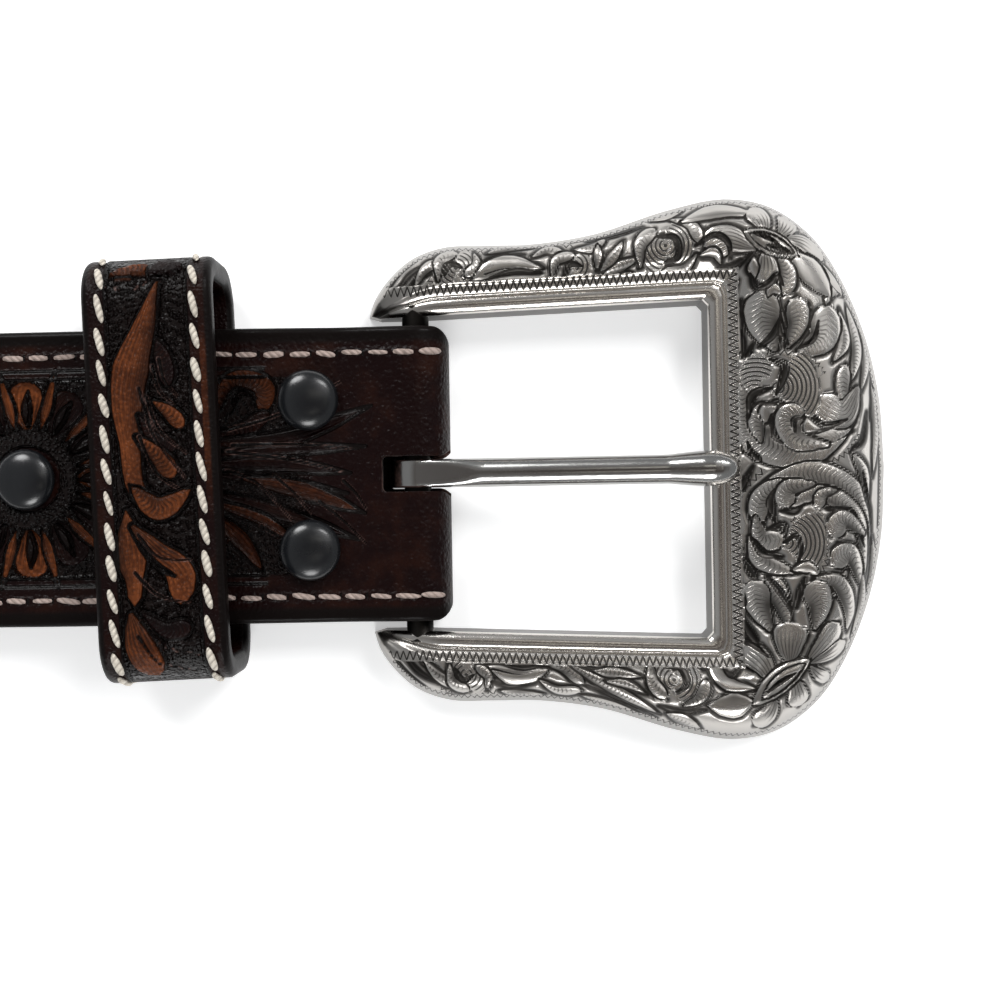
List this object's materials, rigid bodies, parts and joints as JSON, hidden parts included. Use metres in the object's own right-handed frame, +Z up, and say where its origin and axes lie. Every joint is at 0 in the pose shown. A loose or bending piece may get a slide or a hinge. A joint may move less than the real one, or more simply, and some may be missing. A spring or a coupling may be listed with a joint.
{
  "type": "belt",
  "caption": "Western tooled leather belt lying flat and unbuckled, with a stitched keeper, black snaps and an engraved antiqued silver frame buckle.",
  "frame": {"origin": "bottom centre of the whole belt's box, on the surface it lies on, on the belt's centre line", "axes": "+X along the belt towards the buckle, +Y across it, +Z up, out of its face"},
  "size_m": [0.9958, 0.072, 0.0175],
  "materials": {
    "tooled_leather": "dark brown antiqued leather, tooled in relief, black burnished edges",
    "keeper_leather": "dark brown tooled leather with lighter russet leaves",
    "antique_silver": "silver plate, engraved, with dark oxidised cuts and polished high places",
    "polished_silver": "polished silver plate",
    "black_snap": "satin black",
    "thread": "pale waxed thread"
  },
  "bodies": {
    "belt": {"strap": "tooled_leather", "keeper": "keeper_leather", "snap_cap_upper": "black_snap", "snap_cap_lower": "black_snap", "snap_cap_rear": "black_snap", "snap_post_upper": "black_snap", "snap_post_lower": "black_snap", "snap_post_rear": "black_snap"},
    "buckle": {"buckle_frame": "antique_silver"},
    "prong": {"prong": "polished_silver"}
  },
  "joints": [
    {"name": "buckle_swing", "type": "hinge", "parent": "belt", "child": "buckle", "pos_m": [0.43595, 0, 0.0046], "axis": [0, -1, 0], "range_deg": [-75, 20]},
    {"name": "prong_lift", "type": "hinge", "parent": "buckle", "child": "prong", "pos_m": [0.43595, 0, 0.0046], "axis": [0, -1, 0], "range_deg": [0, 70]}
  ]
}
